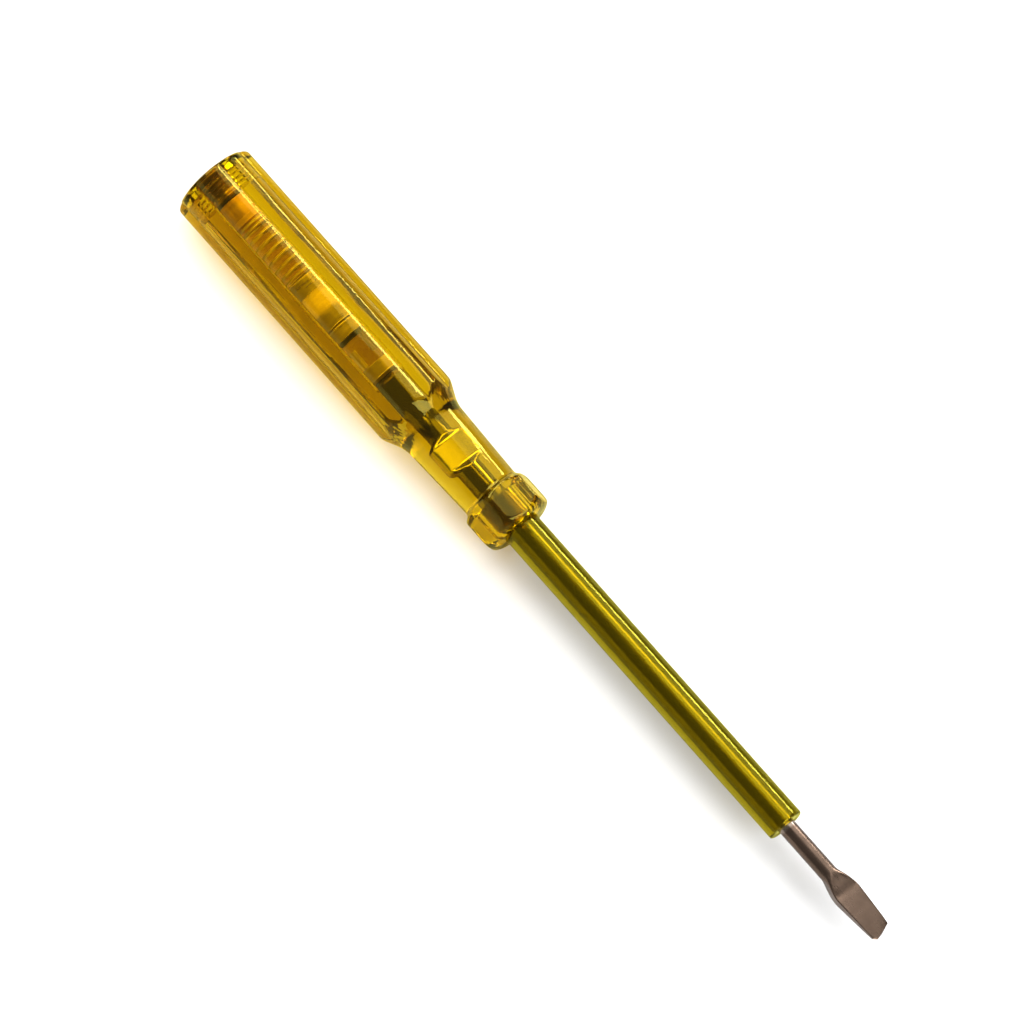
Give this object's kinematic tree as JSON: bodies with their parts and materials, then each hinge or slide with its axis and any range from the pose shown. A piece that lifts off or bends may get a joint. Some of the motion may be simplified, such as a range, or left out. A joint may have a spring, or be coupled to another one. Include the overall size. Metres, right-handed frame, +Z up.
{
  "type": "voltage tester screwdriver",
  "caption": "Slotted screwdriver with a fluted clear handle that holds a neon mains tester, an insulated blade and a threaded end plug with a touch contact.",
  "frame": {"origin": "under the middle of the tool, in the plane that it lies on", "axes": "+X along the tool from the end plug to the blade's tip, +Z up from the plane that it lies on, square to the blade's flat"},
  "size_m": [0.19, 0.0162, 0.0162],
  "materials": {
    "amber_plastic": "clear amber, polished",
    "yellow_plastic": "clear yellow",
    "blade_steel": "dull ground steel",
    "nickel": "nickel plate",
    "brass": "turned brass",
    "spring_steel": "drawn wire",
    "resistor_body": "matt",
    "lamp_glass": "clear"
  },
  "bodies": {
    "handle": {"handle": "amber_plastic", "blade": "blade_steel", "blade_sleeve": "yellow_plastic", "contact_spring": "spring_steel", "resistor_cap_rear": "nickel", "resistor_body": "resistor_body", "resistor_cap_front": "nickel", "lamp_cap_rear": "nickel", "lamp_glass": "lamp_glass", "lamp_electrode_rear": "nickel", "lamp_electrode_front": "nickel", "lamp_lead_rear": "nickel", "lamp_lead_front": "nickel", "lamp_cap_front": "nickel"},
    "contact_slug": {"contact_slug": "brass"},
    "end_plug": {"end_plug": "amber_plastic", "touch_stud": "nickel"}
  },
  "joints": [
    {"name": "slug_slide", "type": "slide", "parent": "handle", "child": "contact_slug", "axis": [-1, 0, 0], "range_m": [0, 0.003], "deforming": ["contact_spring"]},
    {"name": "plug_turn", "type": "hinge", "parent": "contact_slug", "child": "end_plug", "pos_m": [-0.095, 0, 0.00812], "axis": [-1, 0, 0], "range_deg": [0, 1080]}
  ],
  "couplings": [
    {"joint": "plug_turn", "follows": "slug_slide", "rad_per_m": 6283.2}
  ]
}
